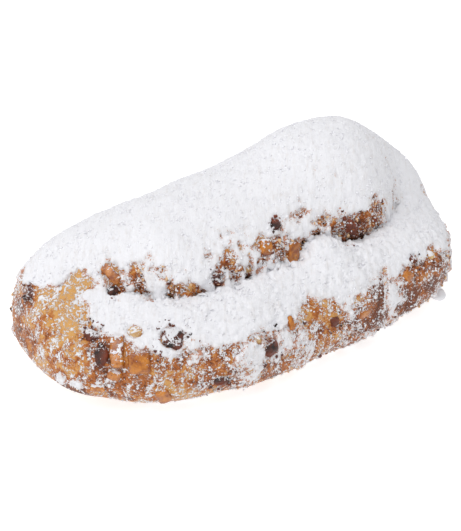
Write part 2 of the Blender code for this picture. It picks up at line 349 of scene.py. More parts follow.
def layers(x, y, z):
    """The foot and the flap as fields, and y measured from the loaf's bowed middle line."""
    y_straight = y - BEND * ((2 * x / LENGTH) ** 2 - BEND_CENTRING)
    swell = LIP_SWELL * bump(x - LIP_SWELL_X, LIP_SWELL_REACH) * bump(y_straight - LIP_Y, LIP_WIDTH)
    front = smooth_line(x, FOOT_FRONT_X, FOOT_FRONT_Y)
    foot = lobe(
        x, y_straight, z, -LENGTH / 2, FOOT_FAR_X, front, FOOT_REAR_Y, FOOT_TIP_Y,
        FOOT_MIDDLE_Z, FOOT_HALF_HEIGHT + swell, FOOT_POWERS,
    )
    edge = smooth_line(x, FLAP_EDGE_X, FLAP_EDGE_Y)
    hump = HUMP_HEIGHT * bump(x - HUMP_X, HUMP_REACH)
    flap = lobe(
        x, y_straight, z, FLAP_NEAR_X, FLAP_FAR_X, edge, FLAP_REAR_Y, FLAP_TIP_Y,
        FLAP_MIDDLE_Z, FLAP_HALF_HEIGHT + hump, FLAP_POWERS,
    )
    return foot, flap, y_straight


def openness(x):
    """1 where the fold stands open, falling to 0 where the ends are pressed shut."""
    return step(x - CREASE_FROM_X, CREASE_FADE) * step(CREASE_TO_X - x, CREASE_FADE)


def dough(places):
    """The whole loaf as a field: negative inside."""
    x, y, z = places[..., 0], places[..., 1], places[..., 2]
    foot, flap, y_straight = layers(x, y, z)
    is_open = openness(x)
    blend = CREASE_BLEND * is_open + SEALED_BLEND * (1 - is_open)
    share = np.clip(0.5 + 0.5 * (flap - foot) / blend, 0, 1)
    joined = flap * (1 - share) + foot * share - blend * share * (1 - share)
    in_front = step(CREASE_REAR_Y - y_straight, CREASE_FADE)
    crease = CREASE_DEPTH * is_open * in_front * bump(flap - foot, CREASE_WIDTH)
    return np.maximum(joined + crease - lumps(x, y, z), -z)


def outward(places, reach):
    """The field's slope at the places: its direction, and how steeply it grows."""
    slope = []
    for axis in np.eye(3) * reach:
        slope.append((dough(places + axis) - dough(places - axis)) / (2 * reach))
    slope = np.stack(slope, axis=-1)
    steepness = np.maximum(np.linalg.norm(slope, axis=-1, keepdims=True), 1e-6)
    return slope / steepness, steepness[..., 0]


middle = np.array([0.0, 10.0, 30.0])
print("the field in the loaf's middle is", round(float(dough(middle)), 1))

# %% [markdown]
# ## A fine skin on the form
#
# Rings round a spine reach all of the form but crowd together at its two tips. Voxel remeshing turns them
# into an even net of small squares, and a few steps along the field's slope put every point exactly back on
# the dough.

# %% Rings round the spine, remeshed and put back on the field
SPINE_HALF_LENGTH = 70.0
SPINE_Y = 12.5
SPINE_Z = 18.0
RING_POINTS = 150
MIDDLE_RINGS = 110
CAP_RINGS = 30
REACH = 110.0
LOOKS = 56
HALVINGS = 10
NET_SIZE = 1.01  # side of the net's squares
SETTLING_STEPS = 4
SETTLING_REACH = 0.3
LEAST_STEEPNESS = 0.5
LONGEST_STEP = 1.5


def along_rays(starts, directions):
    """Where rays from inside the dough leave it for the last time."""
    inside = np.zeros(starts.shape[:-1])
    looks = np.linspace(0, REACH, LOOKS)
    for distance in looks[1:]:
        inside = np.where(dough(starts + directions * distance) < 0, distance, inside)
    outside = inside + looks[1]
    for _ in range(HALVINGS):
        halfway = (inside + outside) / 2
        within = dough(starts + directions * halfway[..., None]) < 0
        inside = np.where(within, halfway, inside)
        outside = np.where(within, outside, halfway)
    return starts + directions * inside[..., None]


def ring_points():
    """Points of the form, ring by ring from the near tip to the far tip."""
    leans = np.linspace(math.pi / 2, 0, CAP_RINGS, endpoint=False)
    middles = np.linspace(-SPINE_HALF_LENGTH, SPINE_HALF_LENGTH, MIDDLE_RINGS)
    start_x = np.concatenate([-SPINE_HALF_LENGTH + 0 * leans, middles, SPINE_HALF_LENGTH + 0 * leans])
    lean = np.concatenate([-leans, 0 * middles, leans[::-1]])
    around = np.linspace(0, 2 * math.pi, RING_POINTS, endpoint=False)
    lean_grid, around_grid = np.meshgrid(lean, around, indexing="ij")
    starts = np.zeros(lean_grid.shape + (3,))
    starts[..., 0] = start_x[:, None]
    starts[..., 1] = SPINE_Y
    starts[..., 2] = SPINE_Z
    sideways = np.cos(lean_grid)
    parts = (np.sin(lean_grid), sideways * np.cos(around_grid), sideways * np.sin(around_grid))
    return along_rays(starts, np.stack(parts, axis=-1))


def ring_mesh():
    """The rings bridged one to the next. The first and last are points, so merging closes the tips."""
    points = ring_points()
    rings, count = points.shape[:2]
    here = np.arange(rings * count).reshape(rings, count)
    after = np.roll(here, -1, axis=1)
    faces = np.stack([here[:-1], after[:-1], after[1:], here[1:]], axis=-1).reshape(-1, 4)
    mesh = bpy.data.meshes.new("rings")
    mesh.from_pydata((points.reshape(-1, 3) * MM).tolist(), [], faces.tolist())
    shape = bmesh.new()
    shape.from_mesh(mesh)
    bmesh.ops.remove_doubles(shape, verts=shape.verts, dist=0.01 * MM)
    bmesh.ops.recalc_face_normals(shape, faces=shape.faces)
    shape.to_mesh(mesh)
    shape.free()
    return mesh


def plain_mesh(source, name):
    """The source object's mesh with its modifiers worked out."""
    evaluated = source.evaluated_get(bpy.context.evaluated_depsgraph_get())
    mesh = bpy.data.meshes.new_from_object(evaluated)
    mesh.name = name
    return mesh


def new_object(name, mesh):
    made = bpy.data.objects.new(name, mesh)
    bpy.context.scene.collection.objects.link(made)
    return made


def skin_mesh():
    """An even net on the dough's skin."""
    rings = new_object("rings", ring_mesh())
    remesh = rings.modifiers.new("even net", "REMESH")
    remesh.mode = "VOXEL"
    remesh.voxel_size = NET_SIZE * MM
    mesh = plain_mesh(rings, "skin")
    bpy.data.objects.remove(rings)
    places = np.empty(len(mesh.vertices) * 3)
    mesh.vertices.foreach_get("co", places)
    places = places.reshape(-1, 3) / MM
    for _ in range(SETTLING_STEPS):
        direction, steepness = outward(places, SETTLING_REACH)
        move = dough(places) / np.maximum(steepness, LEAST_STEEPNESS)
        places = places - direction * np.clip(move, -LONGEST_STEP, LONGEST_STEP)[:, None]
    places[:, 2] = np.maximum(places[:, 2], 0)
    mesh.vertices.foreach_set("co", (places * MM).ravel())
    mesh.update()
    return mesh, places


skin, skin_places = skin_mesh()
off_field = np.abs(dough(skin_places)).max()
print("skin:", len(skin.polygons), "squares, off the field by at most", round(float(off_field), 2), "mm")

# %% [markdown]
# ## Where the sugar lies
#
# Sugar sifted from above stays on what faces up and slides off what is steep, so the main rule reads the
# slope. To that come the places where it was knocked or never reached: the near end's face, the torn dough
# in the fold, and round each piece of fruit. The result, `cover`, is stored at each point: above 0 lies a
# coat, below it bare crust.

# %% Random values at points
CORNERS = list(itertools.product((0, 1), repeat=3))
CELL_STEPS = (73856093, 19349663, 83492791)  # large primes, which scramble whole numbers well
SEED_STEP = 2654435761
STIRS = ((15, 2246822519), (13, 3266489917))
LOW_BITS = 0xFFFFFFFF
CELLS_BELOW_ZERO = 1000.0  # added so that every cell's number is above zero


def scrambled(cell, seed):
    """A random value from -1 to 1 for each whole-numbered cell."""
    steps = cell * np.array(CELL_STEPS)
    mixed = steps[..., 0] ^ steps[..., 1] ^ steps[..., 2] ^ (seed * SEED_STEP)
    mixed = (mixed & LOW_BITS).astype(np.uint64)
    for shift, factor in STIRS:
        mixed = ((mixed ^ (mixed >> np.uint64(shift))) * np.uint64(factor)) & np.uint64(LOW_BITS)
    return (mixed ^ (mixed >> np.uint64(16))).astype(float) / (LOW_BITS // 2) - 1


def rough(places, size, seed):
    """Smooth random values from -1 to 1 that change over the size, in millimetres, along each axis."""
    cell = places / np.asarray(size) + CELLS_BELOW_ZERO
    whole = np.floor(cell).astype(np.int64)
    part = cell - whole
    part = part * part * (3 - 2 * part)
    total = 0.0
    for corner in CORNERS:
        weight = np.prod(np.where(corner, part, 1 - part), axis=-1)
        total = total + weight * scrambled(whole + corner, seed)
    return total


# %% Bare and covered patches
SLOPE_HOLDS = 0.56  # how much a place must face up, from 0 to 1, to hold a coat
SLOPE_RANGE = 0.24
STEEP_NEAR = -0.55  # the cover that steep places keep in the near half and in the far half
STEEP_FAR = -0.2
FAR_HALF_X = 10
FAR_HALF_FADE = 30
# The near end's face is bare beyond this line, seen from above
END_FACE_Y = (-60, -42, -30, -16, 1, 23, 40)
END_FACE_X = (-78, -86, -92, -97, -94, -111, -126)
END_FACE_FADE = 5
END_FACE_TOP_Z = 60
END_FACE_TOP_FADE = 6
END_FACE_LOSS = 2.6
TORN_HEIGHT = 11.0  # how far the torn dough reaches up from the fold's crease
TORN_FADE = 2.5
TORN_REAR_Y = 6
TORN_REAR_FADE = 6
TORN_COVER = 0.45
MOST_COVER = 1.6
FOLD_REAR_Y = 12
FOLD_REAR_FADE = 4
CREASE_REACH = 2.5  # how far from the crease the deep part and the whole fold reach
FOLD_REACH = 7.0
LIP_REAR_Y = -10
LIP_FADE = 12
RAGGED = ((15, 0.45, 1), (5.5, 0.5, 2), (2.4, 0.5, 3))  # size, height and seed of the edge's unevenness

# (place, radius, how much is taken off the cover there, or put on where it is below zero)
PATCHES = (
    # torn places in the fold and above it, from the near end to the far end
    ((-95, 4, 51), 5.0, 2.0),
    ((-80, -4, 54), 5.0, 0.9),
    ((-81, -9, 48), 4.0, 0.9),
    ((-70, -9, 57), 3.0, 1.3),
    ((-71, -13, 51), 3.5, 1.2),
    ((-69, -20, 45), 1.6, 2.2),
    ((-60, -22, 49), 4.5, 1.1),
    ((-75, -12, 50), 3.5, -0.9),
    ((-67, -16, 54), 4.5, -1.0),
    ((-65, -20, 47), 3.5, -0.9),
    ((-42, -27, 52), 4.5, -0.9),
    ((-52, -26, 51), 3.0, 0.6),
    ((-49, -28, 47), 4.0, 1.3),
    ((-37, -28, 49), 3.5, 0.9),
    ((-30, -25, 55), 3.8, 1.4),
    ((-22, -27, 50), 2.8, 1.1),
    ((-14, -26, 52), 3.0, 0.7),
    ((-7, -25, 56), 5.5, 1.4),
    ((-3, -27, 49), 3.5, 1.3),
    ((8, -25, 50), 5.5, 1.4),
    ((16, -18, 65), 2.0, 1.6),
    ((20, -22, 55), 2.5, 1.1),
    ((25, -22, 60), 3.5, 1.0),
    ((32, -25, 55), 3.5, 1.0),
    ((39, -26, 49), 8.0, 1.7),
    ((50, -26, 51), 8.0, 1.5),
    ((60, -23, 55), 4.5, 1.2),
    ((58, -22, 63), 2.5, 1.1),
    ((30, -18, 68), 8.0, -1.0),
    ((46, -22, 66), 9.0, -1.4),
    ((63, -18, 68), 9.0, -1.3),
    ((74, -8, 62), 10.0, -1.0),
    ((84, 6, 60), 10.0, -1.0),
    # bare places on the side
    ((-74, -51, 16), 9.0, 0.7),
    ((-86, -46, 22), 7.0, 0.8),
    ((-58, -56, 27), 7.0, 0.8),
    ((-30, -56, 7), 6.0, 0.8),
    ((-4, -54, 35), 7.0, 1.2),
    ((1, -57, 26), 8.0, 1.1),
    ((31, -57, 25), 8.0, 0.9),
    ((37, -55, 27), 5.0, 0.8),
    ((57, -52, 33), 6.0, 1.3),
    ((59, -53, 18), 6.0, 0.9),
    ((69, -52, 25), 9.0, 0.9),
    ((80, -50, 28), 9.0, 1.2),
    ((76, -46, 36), 5.0, 1.0),
    # sugar that clings to the side
    ((-76, -47, 34), 6.0, -0.9),
    ((-67, -52, 29), 6.0, -0.9),
    ((-51, -53, 38), 6.0, -0.6),
    ((-93, -3, 48), 3.5, -1.6),
    ((-108, 24, 49), 5.5, -1.8),
    ((-107, 16, 51), 5.5, -2.0),
    ((-103, 10, 52), 5.0, -2.0),
    ((-99, 9, 53), 3.5, -1.2),
    ((-118, 27, 19), 5.0, -3.2),
    ((-119, 15, 18), 6.0, -3.3),
    ((-119, 4, 16), 5.0, -3.4),
    ((-118, -6, 16), 5.0, -3.4),
    ((-115, -16, 18), 5.0, -3.9),
    ((-110, -24, 18), 5.0, -4.2),
    ((-103, -31, 18), 4.5, -4.0),
    ((-96, -38, 16), 4.0, -2.2),
    ((75, -5, 72), 9.0, -1.0),
    ((57, -13, 77), 5.0, -0.9),
    ((106, 8, 45), 9.0, -0.8),
    ((110, 14, 44), 10.0, -1.0),
    ((104, 20, 55), 10.0, -1.0),
    ((96, -2, 50), 7.0, -1.0),
    ((94, 3, 58), 7.0, -1.0),
    ((98, -8, 43), 7.0, -0.8),
    ((-42, -60, 27), 9.0, -0.7),
    ((-28, -57, 36), 9.0, -0.8),
    ((-13, -58, 24), 8.0, -0.8),
    ((14, -57, 31), 6.0, -0.8),
    ((18, -57, 16), 6.0, -0.6),
    ((46, -54, 24), 6.0, -1.1),
    ((49, -52, 34), 6.0, -1.0),
)

# Darker and lighter places of the crust, most of them how it baked and some painted shade:
# (place, radius, how much darker it is)
BAKED_AND_SHADE = (
    ((-99, 4, 46), 14.0, -0.5),
    ((-58, -24, 48), 12.0, -0.4),
    ((-95, 5, 52), 7.0, -0.6),
    ((-106, -6, 42), 20.0, -0.4),
    ((100, -36, 28), 9.0, -0.8),
    ((57, -52, 33), 5.0, -0.6),
    ((76, -46, 36), 5.0, -0.6),
    ((25, -21, 62), 5.0, -0.5),
    ((-22, -27, 50), 4.0, -0.6),
    ((-112, 18, 42), 6.0, 0.7),
    ((-117, 8, 30), 8.0, 0.3),
    ((-116, 24, 32), 10.0, 0.3),
    ((-113, -17, 9), 7.0, 1.3),
    ((-101, -24, 35), 7.0, 0.7),
    ((-30, -56, 6), 9.0, 0.6),
    # the next two rows: painted shade in the fold's recesses
    ((39, -26, 49), 7.0, 0.5),
    ((-4, -26, 51), 4.0, 0.5),
    # the last two rows: painted shade over the front side of the far half
    ((34, -57, 16), 22.0, 0.8),
    ((80, -45, 18), 40.0, 0.65),
)


# %% The cover that the form and the patches give
def patches_at(places, table):
    """The sum of the table's amounts at each place, each fading smoothly past its radius."""
    total = np.zeros(len(places))
    for middle_place, radius, amount in table:
        total += amount * bump(np.linalg.norm(places - np.array(middle_place, float), axis=1), radius)
    return total


def cover_at(places):
    """The cover, how torn the dough is, and how near the crease, the fold and the lip each place is."""
    x, y, z = places[:, 0], places[:, 1], places[:, 2]
    direction, _ = outward(places, 2.0)
    foot, flap, _ = layers(x, y, z)
    steep = STEEP_NEAR + (STEEP_FAR - STEEP_NEAR) * step(x - FAR_HALF_X, FAR_HALF_FADE)
    cover = np.clip((direction[:, 2] - SLOPE_HOLDS) / SLOPE_RANGE, steep, MOST_COVER)

    on_flap = step(foot - flap, 1.0)
    torn = openness(x) * on_flap * step(TORN_HEIGHT - foot, TORN_FADE)
    torn = torn * step(TORN_REAR_Y - y, TORN_REAR_FADE)
    cover = cover * (1 - torn) + TORN_COVER * torn
    past_end = smooth_line(y, END_FACE_Y, END_FACE_X) - x
    cover -= END_FACE_LOSS * step(past_end, END_FACE_FADE) * step(END_FACE_TOP_Z - z, END_FACE_TOP_FADE)
    cover -= patches_at(places, PATCHES)
    beside = openness(x) * step(FOLD_REAR_Y - y, FOLD_REAR_FADE)
    crease = beside * bump(flap - foot, CREASE_REACH)
    fold = beside * bump(flap - foot, FOLD_REACH)
    lip = (1 - on_flap) * step(LIP_REAR_Y - y, LIP_FADE)
    return cover, torn, crease, fold, lip


cover, torn, crease, fold, lip = cover_at(skin_places)
ragged = sum(height * rough(skin_places, size, seed) for size, height, seed in RAGGED)
streaky = 0.22 * rough(skin_places, (1.6, 7.0, 7.0), 4)
cover = cover + ragged + streaky + 0.5 * torn * rough(skin_places, (1.8, 6.0, 6.0), 5)
cover += 1.2 * fold * rough(skin_places, 3.5, 8)
print("cover from", round(float(cover.min()), 1), "to", round(float(cover.max()), 1))

# %% Sugar brushed off round each piece of fruit
FRUIT_KINDS = ("raisin", "peel", "almond")
fruit_nodes = sorted(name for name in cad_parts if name.split("_")[0] in FRUIT_KINDS)


def middle_of(node):
    """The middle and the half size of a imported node's box, in millimetres."""
    low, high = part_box(node)
    return np.array((low + high) / 2) / MM, np.array((high - low) / 2) / MM


BRUSHED_SLOPE = 3.5  # how fast the cover grows past a piece's edge
CRUMBLY_AT = 1.2  # where flecks lie round a raisin, as a share of its half size
CRUMBLY_REACH = 0.9
crumbly = np.zeros(len(skin_places))
for name in fruit_nodes:
    place, half = middle_of(name)
    away = np.linalg.norm((skin_places - place) / half, axis=1)
    cover = np.minimum(cover, BRUSHED_SLOPE * (away - 1.0) + 0.5 * rough(skin_places, 2.0, 7))
    if name.startswith("raisin"):
        crumbly = np.maximum(crumbly, bump(np.abs(away - CRUMBLY_AT), CRUMBLY_REACH))


def store(mesh, name, values):
    """Keeps a value at each point of the mesh."""
    made = mesh.attributes.new(name, "FLOAT", "POINT")
    made.data.foreach_set("value", np.asarray(values, dtype=np.float32))


store(skin, "cover", cover)
store(skin, "torn", torn)
# how much darker the crust is: how it baked, and painted shade in the fold's recesses and on the far front
# side
store(skin, "baked", patches_at(skin_places, BAKED_AND_SHADE))
store(skin, "crease", crease)
store(skin, "crumbly", crumbly)
store(skin, "fold", fold)
store(skin, "lip", lip)
covered = round(100 * float((cover > 0).mean()))
print("sugar covers", covered, "% of the skin, round", len(fruit_nodes), "pieces of fruit")

# %% [markdown]
# ## Trees that grow pieces on the skin
#
# The crust's relief, the coat of sugar and its loose grains all follow the skin, so each is a Geometry
# Nodes tree with its sizes as named inputs. The modifier is worked out once and its result kept as a plain
# mesh.


# %% Starting, ending and running a Geometry Nodes tree
def start_tree(name, sizes):
    """A tree that takes the skin and the sizes, with its geometry and size wires."""
    tree = bpy.data.node_groups.new(name, "GeometryNodeTree")
    tree.interface.new_socket("Geometry", in_out="INPUT", socket_type="NodeSocketGeometry")
    for label in sizes:
        tree.interface.new_socket(label, in_out="INPUT", socket_type="NodeSocketFloat")
    tree.interface.new_socket("Geometry", in_out="OUTPUT", socket_type="NodeSocketGeometry")
    inputs = tree.nodes.new("NodeGroupInput")
    wires = {label: Wire(tree, inputs.outputs[label]) for label in sizes}
    return tree, Wire(tree, inputs.outputs["Geometry"]), wires


def end_tree(geometry, finish):
    """Instances made real, the finish put on, and the result sent out."""
    tree = geometry.tree
    real = add_node(tree, "GeometryNodeRealizeInstances", values={"Geometry": geometry})
    finished = add_node(tree, "GeometryNodeSetMaterial", values={"Geometry": real, "Material": finish})
    output = tree.nodes.new("NodeGroupOutput")
    tree.links.new(finished.socket, output.inputs["Geometry"])


def grow(name, tree, sizes):
    """A plain object made by the tree from the skin."""
    base = new_object(name, skin.copy())
    modifier = base.modifiers.new(name, "NODES")
    modifier.node_group = tree
    for item in tree.interface.items_tree:
        if item.item_type == "SOCKET" and item.in_out == "INPUT" and item.name in sizes:
            modifier[item.identifier] = sizes[item.name]
    mesh = plain_mesh(base, name)
    base.modifiers.remove(modifier)
    base.data = mesh
    mesh.shade_smooth()
    triangles = sum(len(face.vertices) - 2 for face in mesh.polygons)
    print(name, "has", triangles, "triangles")
    return base


def rubble(tree, place, height):
    """Lumps beside the fold, where dough and sugar crumbled, the same for the crust and the coat."""
    return noise(place, 6.5, detail=3, roughness=0.6, twist=0.8) * stored(tree, "fold") * height


LOWEST = (-1.0, -1.0, 0.0)  # in metres: no limit along and across, and the base's level upwards


def placed(geometry, places):
    """The geometry with its points at the places, but none below what the loaf rests on."""
    tree = geometry.tree
    lifted = vector_math("MAXIMUM", places, LOWEST)
    return add_node(tree, "GeometryNodeSetPosition", values={"Geometry": geometry, "Position": lifted})


def pushed_out(geometry, amount):
    """The geometry moved along its normals by the amount in millimetres."""
    tree = geometry.tree
    place = add_node(tree, "GeometryNodeInputPosition")
    normal = add_node(tree, "GeometryNodeInputNormal")
    return placed(geometry, vector_math("ADD", place, vector_math("SCALE", normal, amount * MM)))


# %% [markdown]
# ## Baked crust
#
# The crust bakes from a light gold at the loaf's end to a deep orange brown on its sides, nearly black
# where sugar in the fruit burnt. Its colour also carries painted shade: darker in the fold's crease and
# recesses and over the far half's front side. It has fine wrinkles and pores. Dust of sugar clings in every
# wrinkle, thicker near the coat's ragged edge, so the dust is a mask in the crust's own material: colour
# that follows a fine random pattern.


# %% Parts that every material starts from
def start_finish(name, **constants):
    """A Principled material with its constants set, its tree, its shader and the place on the object."""
    finish = bpy.data.materials.new(name)
    finish.use_nodes = True
    tree = finish.node_tree
    shader = tree.nodes["Principled BSDF"]
    for label, value in constants.items():
        shader.inputs[label.replace("_", " ")].default_value = value
    place = add_node(tree, "ShaderNodeTexCoord", output="Object")
    return finish, tree, shader, place


def plug(shader, label, wire):
    """A wire led into one of the shader's sockets."""
    wire.tree.links.new(wire.socket, shader.inputs[label])


def raised(height, strength):
    """A normal that shows a height in millimetres as relief."""
    values = {"Height": height, "Distance": MM, "Strength": strength}
    return add_node(height.tree, "ShaderNodeBump", values=values)


SUGAR_WHITE = srgb(234, 234, 238)
# the grey of thin dust on the crust, also used as the coat's painted shade
THIN_SUGAR_AND_SHADE = srgb(216, 211, 209)
GOLD = srgb(212, 160, 94)
AMBER = srgb(178, 102, 44)
BROWN = srgb(114, 58, 26)
# nearly black: burnt crust, and also the painted shade along the fold's crease
BURNT_AND_CREASE_SHADE = srgb(62, 34, 20)


# %% Crust finish
def crust_finish():
    finish, tree, shader, place = start_finish("crust", Specular_IOR_Level=0.25)
    cover = attribute(tree, "cover")
    torn = attribute(tree, "torn")
    crease = attribute(tree, "crease")

    broad = noise(place, 13, detail=2)
    middling = noise(place, 4.5, detail=3, roughness=0.6, twist=0.6)
    fine = noise(place, 1.4, detail=3, roughness=0.65, twist=0.5)
    grain = noise(place, 0.7, detail=2, roughness=0.6)

    # how the crust baked, with painted shade in the fold's recesses and over the far half's front side
    browned_and_shade = attribute(tree, "baked")
    baked = browned_and_shade * 0.6 + broad * 0.8 + middling * 0.9 + fine * 0.6 + torn * 0.2 + 0.4
    colour = mix(baked.rise(0.0, 0.5), GOLD, AMBER)
    colour = mix(baked.rise(0.4, 0.9), colour, BROWN)
    # nearly black where the crust burnt at random, and darker along the fold's crease as painted shade
    scorched = noise(place, 6.0, detail=3, roughness=0.65, twist=0.8) * 0.7 + fine * 0.5
    burnt_and_crease_shade = (scorched + baked * 0.35 + crease * 0.8).rise(0.42, 0.66)
    colour = mix(burnt_and_crease_shade * 0.8, colour, BURNT_AND_CREASE_SHADE)

    network = (1.0 - noise(place, 2.3, detail=2, twist=1.2).size() * 7.0).most(0.0)
    specks = noise(place, 1.2, detail=3, roughness=0.65, twist=0.8)
    drifts = noise(place, 7.0, detail=4, roughness=0.68, twist=1.2)
    runs = noise(sifted(place), 2.6, detail=2, roughness=0.6)
    patchy = drifts + runs * 0.5 + cover.least(0.2).most(-0.8) * 0.32
    dusting = specks * 1.2 + network * 0.24 + patchy + 0.06 - crease * 0.5 - browned_and_shade * 0.1
    colour = mix(dusting.rise(-0.3, 0.1) * 0.08, colour, THIN_SUGAR_AND_SHADE)
    dust = dusting.rise(0.0, 0.08)
    powder = mix(dusting.rise(0.06, 0.3), THIN_SUGAR_AND_SHADE, SUGAR_WHITE)
    colour = mix(dust * 0.97, colour, powder)

    plug(shader, "Base Color", colour)
    plug(shader, "Roughness", dust * 0.4 + 0.45)
    height = fine * 0.4 + grain * 0.15 + dust * 0.3
    plug(shader, "Normal", raised(height, 0.9))
    return finish


# %% The crust, with its relief
CRUST_SIZES = {
    "Wrinkle height": 0.35,
    "Torn height": 2.4,
    "Pore depth": 0.3,
    "Rubble height": 5.0,
}


def crust_tree(finish):
    tree, geometry, sizes = start_tree("crust relief", CRUST_SIZES)
    place = add_node(tree, "GeometryNodeInputPosition")
    torn = stored(tree, "torn")
    wrinkle = noise(place, 5.0, detail=3, roughness=0.6) * sizes["Wrinkle height"]
    tearing = noise(place, 3.6, detail=2, roughness=0.6, twist=0.8) * sizes["Torn height"]
    pores = cells(place, 4.0).rise(0.0, 0.35) - 1.0
    amount = wrinkle + tearing * torn + pores * sizes["Pore depth"]
    amount = amount + rubble(tree, place, sizes["Rubble height"])
    end_tree(pushed_out(geometry, amount), finish)
    return tree


crust = grow("crust", crust_tree(crust_finish()), CRUST_SIZES)
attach(crust, "root")
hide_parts("loaf")

# %% [markdown]
# ## The coat of icing sugar
#
# The coat is a second skin. Where `cover` is high it stands a little over a millimetre above the crust, and
# where it is low it dips below and the crust hides it, so its edge is the ragged line where the two cross.
# Sifted sugar lies in soft drifts with fine streaks that run downhill, and in rougher lumps on the lip.


# %% Icing sugar finish
def sugar_finish():
    finish, tree, shader, place = start_finish(
        "icing_sugar", Roughness=0.9, Specular_IOR_Level=0.2,
        Subsurface_Weight=0.2, Subsurface_Radius=(1.0, 1.0, 1.0), Subsurface_Scale=0.5 * MM,
    )
    streaks = noise(sifted(place), 1.5, detail=2, roughness=0.6)
    powder = noise(place, 0.7, detail=3, roughness=0.7)
    clots = noise(place, 2.0, detail=2, roughness=0.6)
    cover = attribute(tree, "cover")
    # painted shade along the coat's streaks and clots, and greyer where the cover is low
    shade = (streaks * 0.9 + clots * 0.5 + (1.0 - cover).clamped() * 0.5).rise(-0.1, 0.9)
    colour = mix(shade * 0.65, SUGAR_WHITE, THIN_SUGAR_AND_SHADE)
    thin = (powder * 0.8 + clots * 0.6 - cover * 0.9 + 0.25).rise(0.1, 0.3)
    plug(shader, "Base Color", mix(thin * 0.8, colour, AMBER))
    height = streaks * 0.3 + powder * 0.22 + clots * 0.3
    plug(shader, "Normal", raised(height, 0.6))
    return finish


# %% The coat
COAT_SIZES = {
    "Thickness": 1.35,
    "Sunk": 1.05,
    "Drift height": 0.8,
    "Lump height": 0.6,
    "Streak height": 0.45,
    "Lip lumps": 1.9,
    "Rubble height": 5.0,
    "Crease drift": 3.0,
}


def coat_tree(finish):
    tree, geometry, sizes = start_tree("sugar coat", COAT_SIZES)
    place = add_node(tree, "GeometryNodeInputPosition")
    cover = stored(tree, "cover") + noise(place, 1.6, detail=2, roughness=0.6) * 0.5
    coat = cover.rise(-0.3, 0.4)
    drifts = noise(place, 6.0, detail=2) * sizes["Drift height"]
    drifts = drifts + noise(place, 2.6, detail=2, roughness=0.6) * sizes["Lump height"]
    streaks = noise(sifted(place), 2.2, detail=1) * sizes["Streak height"]
    on_lip = stored(tree, "lip") * sizes["Lip lumps"]
    drifts = drifts + noise(place, 3.4, detail=3, roughness=0.62, twist=0.8) * on_lip
    amount = coat * (sizes["Thickness"] + drifts + streaks) - (1.0 - coat) * sizes["Sunk"]
    amount = amount + rubble(tree, place, sizes["Rubble height"])
    amount = amount + coat * stored(tree, "crease") * sizes["Crease drift"]
    end_tree(pushed_out(geometry, amount), finish)
    return tree


coat = grow("sugar_coat", coat_tree(sugar_finish()), COAT_SIZES)
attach(coat, "root")

# %% [markdown]
# ## Loose grains and clumps
#
# Icing sugar clots into soft crumbs. They stand on the coat, where they make its outline fuzzy, and cling
# to the bare crust. Points are scattered on the skin with a fixed seed, denser where `cover` asks for them,
# and each gets a small lump with only a few faces, turned and stretched at random.

# %% A tree that scatters lumps
FULL_TURN = (math.tau, math.tau, math.tau)
SQUATTEST = (0.6, 0.6, 0.5)  # the least and the most stretch of a grain along its own axes
LONGEST = (1.4, 1.2, 1.0)


def random_vector(tree, least, most, seed):
    """A random vector for each grain."""
    values = {"Min": least, "Max": most, "Seed": seed}
    return add_node(tree, "FunctionNodeRandomValue", {"data_type": "FLOAT_VECTOR"}, values)


def scatter_tree(name, sizes, wanted, lift, seed, finish):
    """Lumps where they are wanted, from 0 to 1, lifted off the skin by a height. The base has none."""
    tree, geometry, wires = start_tree(name, sizes)
    place = add_node(tree, "GeometryNodeInputPosition")
    height = add_node(tree, "ShaderNodeSeparateXYZ", values={"Vector": place}, output="Z")
    density = wires["Density"] * wanted(tree) * height.rise(0.5 * MM, 2.5 * MM) / (MM * MM)
    values = {"Mesh": pushed_out(geometry, lift), "Density": density, "Seed": seed}
    points = add_node(tree, "GeometryNodeDistributePointsOnFaces", {"distribute_method": "RANDOM"}, values)
    lump = add_node(tree, "GeometryNodeMeshIcoSphere", values={"Radius": 0.5 * MM, "Subdivisions": 1})
    turn = random_vector(tree, (0.0, 0.0, 0.0), FULL_TURN, seed + 1)
    values = {"Instance": lump, "Points": points, "Rotation": turn}
    grains = add_node(tree, "GeometryNodeInstanceOnPoints", values=values)
    values = {2: 0.0, 3: 1.0, "Seed": seed + 2}
    chance = add_node(tree, "FunctionNodeRandomValue", {"data_type": "FLOAT"}, values, output=1)
    size = wires["Least size"] + (wires["Most size"] - wires["Least size"]) * chance * chance * chance
    scale = vector_math("SCALE", random_vector(tree, SQUATTEST, LONGEST, seed + 3), size)
    grains = add_node(tree, "GeometryNodeScaleInstances", values={"Instances": grains, "Scale": scale})
    grains = add_node(tree, "GeometryNodeRealizeInstances", values={"Geometry": grains})
    end_tree(placed(grains, place), finish)
    return tree


# %% Clumps on the crust and fluff on the coat
CLUMP_SIZES = {"Least size": 0.4, "Most size": 1.5, "Density": 0.28}
FLUFF_SIZES = {"Least size": 0.45, "Most size": 1.45, "Density": 0.38}
loose_sugar = start_finish(
    "sugar_grains", Roughness=0.9, Specular_IOR_Level=0.2, Base_Color=SUGAR_WHITE,
)[0]


def on_bare(tree):
    """1 on bare crust near the coat's edge, less further away, and a few everywhere."""
    cover = stored(tree, "cover")
    return cover.rise(-1.6, 0.0) * (1.0 - cover.rise(0.0, 0.3)) + 0.2


def on_coat(tree):
    """1 where the coat is thick."""
    return stored(tree, "cover").rise(0.1, 0.5)


SCATTERS = (
    ("sugar_clumps", CLUMP_SIZES, on_bare, 0.15, 11),
    ("sugar_fluff", FLUFF_SIZES, on_coat, 1.3, 21),
)
for name, sizes, wanted, lift, seed in SCATTERS:
    grains = grow(name, scatter_tree(name, sizes, wanted, lift, seed, loose_sugar), sizes)
    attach(grains, "root")

